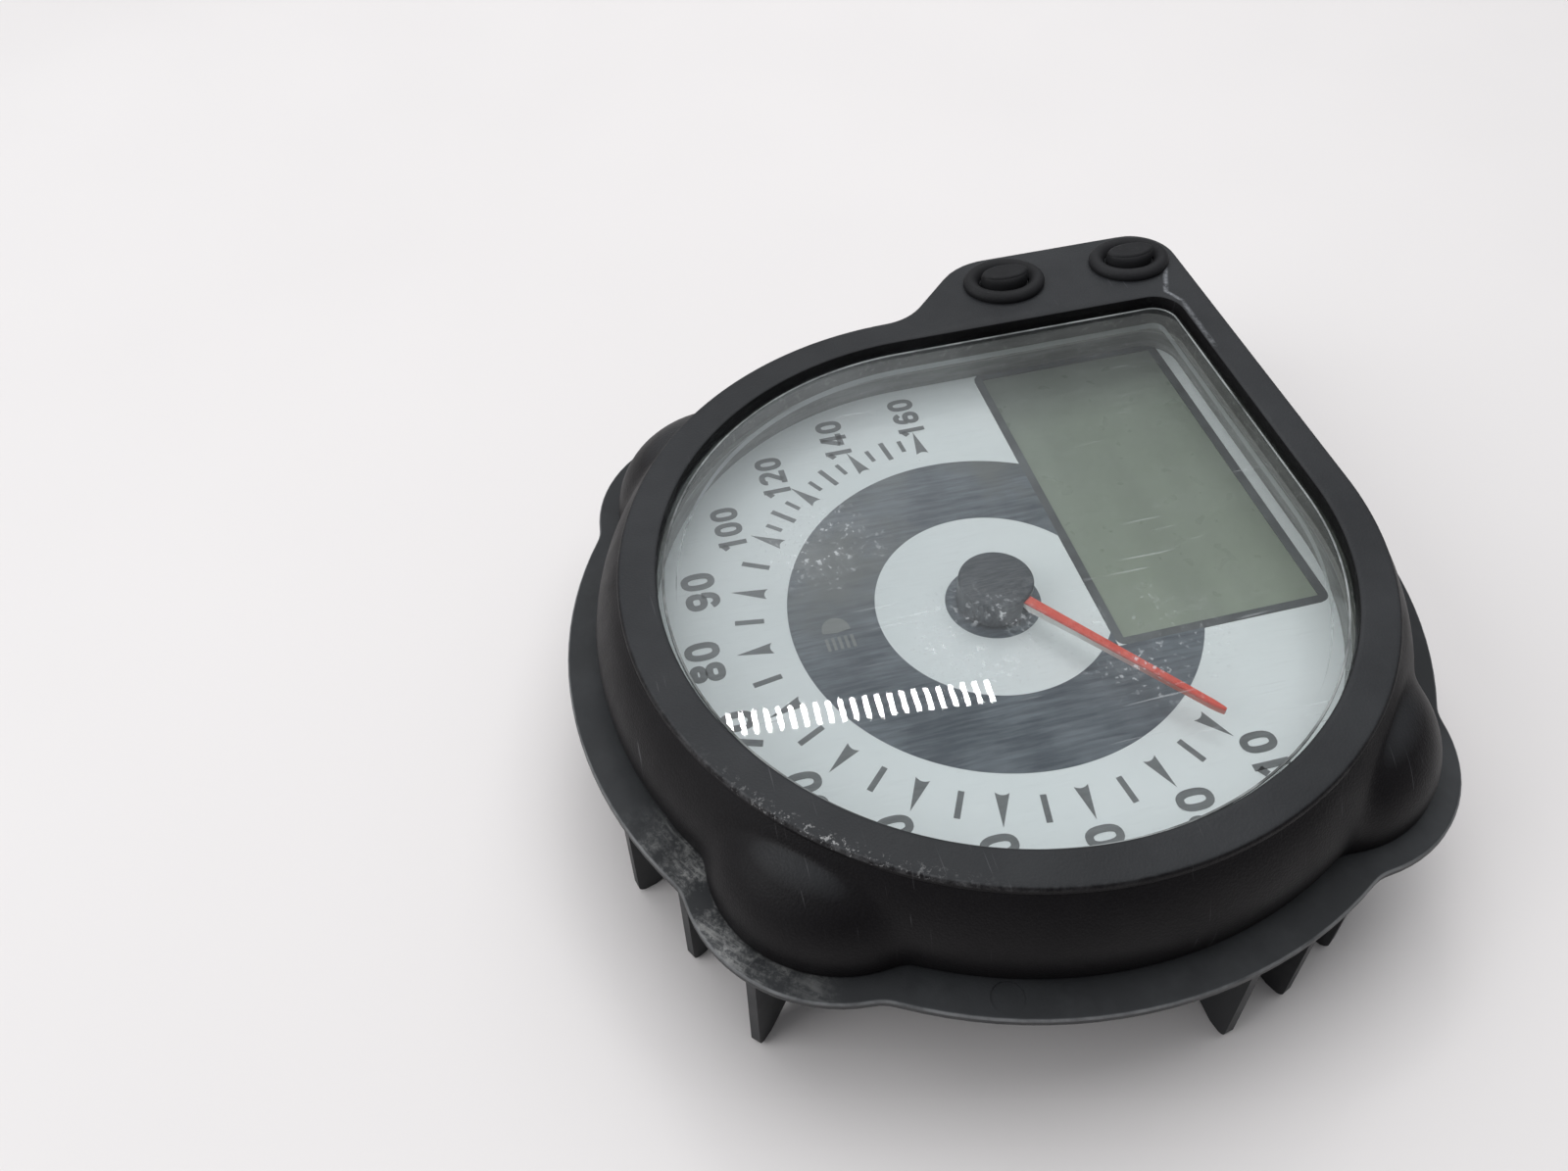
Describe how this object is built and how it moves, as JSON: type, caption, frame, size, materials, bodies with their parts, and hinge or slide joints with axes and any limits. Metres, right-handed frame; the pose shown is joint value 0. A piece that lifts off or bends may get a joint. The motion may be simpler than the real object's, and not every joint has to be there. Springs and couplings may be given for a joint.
{
  "type": "motorcycle instrument cluster",
  "caption": "Round motorcycle instrument cluster with a pointer speedometer dial, LCD window, button strip, clear lens and finned rear case.",
  "frame": {"origin": "on the pointer axis, in the plane of the rear mounting bosses that the cluster rests on", "axes": "+X the way the dial numerals read, +Y the dial's twelve o'clock, +Z out of the dial towards the rider"},
  "size_m": [0.1554, 0.1412, 0.0457],
  "materials": {
    "case_plastic": "moulded satin with fine grain, scuffed edges",
    "seal_rubber": "matte",
    "screw_steel": "zinc plated",
    "insert_brass": "turned",
    "vent_plastic": "matte",
    "lens_clear": "clear moulded plastic, lightly hazed",
    "shroud_plastic": "satin grey",
    "dial_print": "screen printed, satin",
    "guide_clear": "clear acrylic",
    "lcd_surround": "matte",
    "lcd_panel": "polariser film, satin",
    "diffuser_white": "milky",
    "zebra_rubber": "matte",
    "board_green": "solder mask",
    "chip_black": "moulded epoxy",
    "can_aluminium": "drawn",
    "connector_plastic": "moulded",
    "pin_brass": "tin plated",
    "motor_plastic": "moulded",
    "core_steel": "stamped",
    "coil_copper": "enamelled wire",
    "magnet_grey": "bonded magnet",
    "gear_plastic": "natural acetal",
    "needle_red": "translucent",
    "cap_plastic": "satin",
    "boot_rubber": "moulded matte"
  },
  "bodies": {
    "case": {"front_case": "case_plastic", "rear_case": "case_plastic", "case_gasket": "seal_rubber", "case_screws": "screw_steel", "mount_inserts": "insert_brass", "breather_vent": "vent_plastic", "clear_lens": "lens_clear", "lens_gasket": "seal_rubber", "dial_shroud": "shroud_plastic", "dial_plate": "dial_print", "light_guide": "guide_clear", "lcd_frame": "lcd_surround", "lcd_glass": "lcd_panel", "lcd_backlight": "diffuser_white", "zebra_strips": "zebra_rubber", "light_box": "diffuser_white", "main_pcb": "board_green", "pcb_screws": "screw_steel", "dial_leds": "diffuser_white", "telltale_leds": "diffuser_white", "microcontroller": "chip_black", "capacitors": "can_aluminium", "connector_shell": "connector_plastic", "connector_pins": "pin_brass", "connector_gasket": "seal_rubber", "motor_housing_rear": "motor_plastic", "motor_housing_front": "motor_plastic", "stator": "core_steel", "coils": "coil_copper", "upper_button_boot": "boot_rubber", "upper_switch_body": "chip_black", "lower_button_boot": "boot_rubber", "lower_switch_body": "chip_black"},
    "pointer": {"output_gear_shaft": "gear_plastic", "needle": "needle_red", "pointer_cap": "cap_plastic"},
    "idler": {"idler_gear": "gear_plastic"},
    "rotor": {"rotor": "magnet_grey"},
    "upper_button": {"upper_button_key": "boot_rubber", "upper_switch_plunger": "gear_plastic"},
    "lower_button": {"lower_button_key": "boot_rubber", "lower_switch_plunger": "gear_plastic"}
  },
  "joints": [
    {"name": "pointer_sweep", "type": "hinge", "parent": "case", "child": "pointer", "pos_m": [0, 0, 0.03], "axis": [0, 0, -1], "range_deg": [0, 216]},
    {"name": "idler_spin", "type": "hinge", "parent": "case", "child": "idler", "pos_m": [0, 0.0105, 0.016], "axis": [0, 0, -1], "range_deg": [-1296, 0]},
    {"name": "rotor_spin", "type": "hinge", "parent": "case", "child": "rotor", "pos_m": [0, 0.018, 0.014], "axis": [0, 0, -1], "range_deg": [0, 5184]},
    {"name": "upper_button_press", "type": "slide", "parent": "case", "child": "upper_button", "axis": [0, 0, -1], "range_m": [0, 0.0012], "stiffness_N_per_m": 300, "springref_m": -0.001},
    {"name": "lower_button_press", "type": "slide", "parent": "case", "child": "lower_button", "axis": [0, 0, -1], "range_m": [0, 0.0012], "stiffness_N_per_m": 300, "springref_m": -0.001}
  ],
  "couplings": [
    {"joint": "idler_spin", "follows": "pointer_sweep", "ratio": -6},
    {"joint": "rotor_spin", "follows": "pointer_sweep", "ratio": 24}
  ]
}
